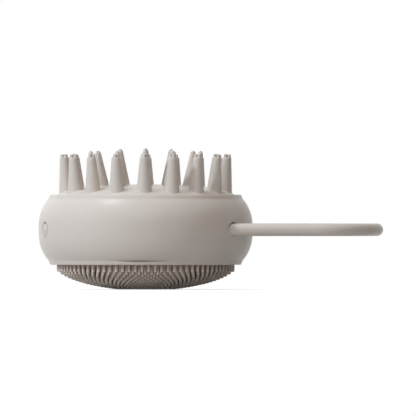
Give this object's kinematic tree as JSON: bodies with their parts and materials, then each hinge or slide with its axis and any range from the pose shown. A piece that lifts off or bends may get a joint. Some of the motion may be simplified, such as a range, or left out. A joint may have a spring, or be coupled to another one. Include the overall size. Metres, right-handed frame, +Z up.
{
  "type": "electric scalp massager",
  "caption": "Round soft-skinned electric massager with rows of prongs on its domed top, a bristle brush below, a side power button and a fixed loop handle.",
  "frame": {"origin": "on the round body's axis, at the level of the flat-cut bristle tips that it stands on", "axes": "+Z up along the body's axis, +X along the handle away from the body, +Y to the left of someone looking along +X"},
  "size_m": [0.1198, 0.0744, 0.0492],
  "materials": {
    "silicone": "satin",
    "handle": "satin",
    "hard_plastic": "satin",
    "seal_rubber": "matte",
    "steel": "brushed",
    "brass": "machined",
    "board": "gloss",
    "black_plastic": "matte",
    "white_plastic": "gloss",
    "cell_wrap": "gloss",
    "foam": "matte",
    "lead_red": "gloss",
    "lead_blue": "gloss"
  },
  "bodies": {
    "housing": {"body_sleeve": "silicone", "scalp_pad": "silicone", "brush_hub": "silicone", "brush_slice_1": "silicone", "brush_slice_2": "silicone", "brush_slice_3": "silicone", "brush_slice_4": "silicone", "brush_slice_5": "silicone", "brush_slice_6": "silicone", "handle_loop": "handle", "handle_clamps": "hard_plastic", "handle_grommets": "seal_rubber", "upper_shell": "hard_plastic", "lower_shell": "hard_plastic", "shell_gasket": "seal_rubber", "shell_screws": "steel", "inner_screws": "steel", "button_seal": "seal_rubber", "switch_body": "black_plastic", "circuit_board": "board", "board_chips": "black_plastic", "lead_connectors": "white_plastic", "charge_jack": "black_plastic", "status_led": "white_plastic", "battery_cell": "cell_wrap", "battery_tray": "hard_plastic", "battery_foam": "foam", "battery_leads": "lead_red", "motor_can": "steel", "motor_boot": "seal_rubber", "motor_bushing": "brass", "motor_leads": "lead_blue"},
    "button": {"power_button": "silicone"},
    "plunger": {"switch_plunger": "brass"},
    "rotor": {"motor_shaft": "steel", "eccentric_weight": "brass"}
  },
  "joints": [
    {"name": "button_press", "type": "slide", "parent": "housing", "child": "button", "axis": [0.9397, 0.342, 0], "range_m": [0, 0.0005], "stiffness_N_per_m": 3000},
    {"name": "plunger_press", "type": "slide", "parent": "housing", "child": "plunger", "axis": [0.9397, 0.342, 0], "range_m": [0, 0.0005], "stiffness_N_per_m": 600},
    {"name": "rotor_spin", "type": "hinge", "parent": "housing", "child": "rotor", "pos_m": [0, 0, 0.0303], "axis": [0, 0, 1], "continuous": true}
  ],
  "couplings": [
    {"joint": "plunger_press", "follows": "button_press", "ratio": 1}
  ]
}
